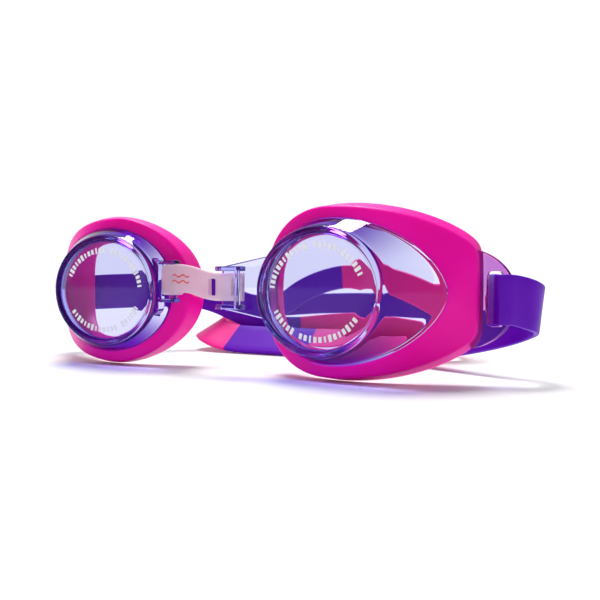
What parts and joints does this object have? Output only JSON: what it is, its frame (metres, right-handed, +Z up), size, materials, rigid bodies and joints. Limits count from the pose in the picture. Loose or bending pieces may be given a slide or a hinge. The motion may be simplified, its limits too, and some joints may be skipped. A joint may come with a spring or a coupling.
{
  "type": "swimming goggles",
  "caption": "Child's swimming goggles: clear oval lens cups with soft pink face seals, a frosted nose bridge and a folded two-colour head strap.",
  "frame": {"origin": "on the table under the middle of the object's box; the seals and the strap rest on z = 0", "axes": "+X along the goggles' width to the right cup, as seen from in front of the lenses, +Y back from the lenses towards the strap, +Z up"},
  "size_m": [0.1552, 0.0954, 0.0424],
  "materials": {
    "clear_plastic": "polished clear polycarbonate with a faint lavender tint",
    "pink_seal": "satin soft moulded elastomer, bright pink",
    "frosted_bridge": "frosted translucent flexible plastic",
    "film": "thin clear protective film with white dashes",
    "purple_strap": "smooth silicone, deep purple",
    "pink_strap": "smooth silicone, bright pink"
  },
  "bodies": {
    "root": {"nose_bridge": "frosted_bridge", "strap_left_arm_purple": "purple_strap", "strap_right_arm_purple": "purple_strap", "strap_right_arm_pink": "pink_strap", "strap_right_arm_purple_middle": "purple_strap", "strap_right_arm_pink_fold": "pink_strap", "strap_upper_band_purple_near": "purple_strap", "strap_upper_band_pink": "pink_strap", "strap_upper_band_purple_far": "purple_strap", "strap_lower_band_purple": "purple_strap", "strap_lower_band_pink": "pink_strap"},
    "left_cup": {"left_lens_cup": "clear_plastic", "left_seal": "pink_seal", "left_lens_film": "film", "strap_left_lug_pass": "purple_strap"},
    "right_cup": {"right_lens_cup": "clear_plastic", "right_seal": "pink_seal", "right_lens_film": "film", "strap_right_lug_pass": "purple_strap"}
  },
  "joints": [
    {"name": "left_cup_pivot", "type": "hinge", "parent": "root", "child": "left_cup", "pos_m": [-0.01364, -0.04135, 0.024], "axis": [0, 0, 1], "range_deg": [0, 8]},
    {"name": "right_cup_slide", "type": "slide", "parent": "root", "child": "right_cup", "axis": [1, 0, 0], "range_m": [-0.003, 0]}
  ]
}
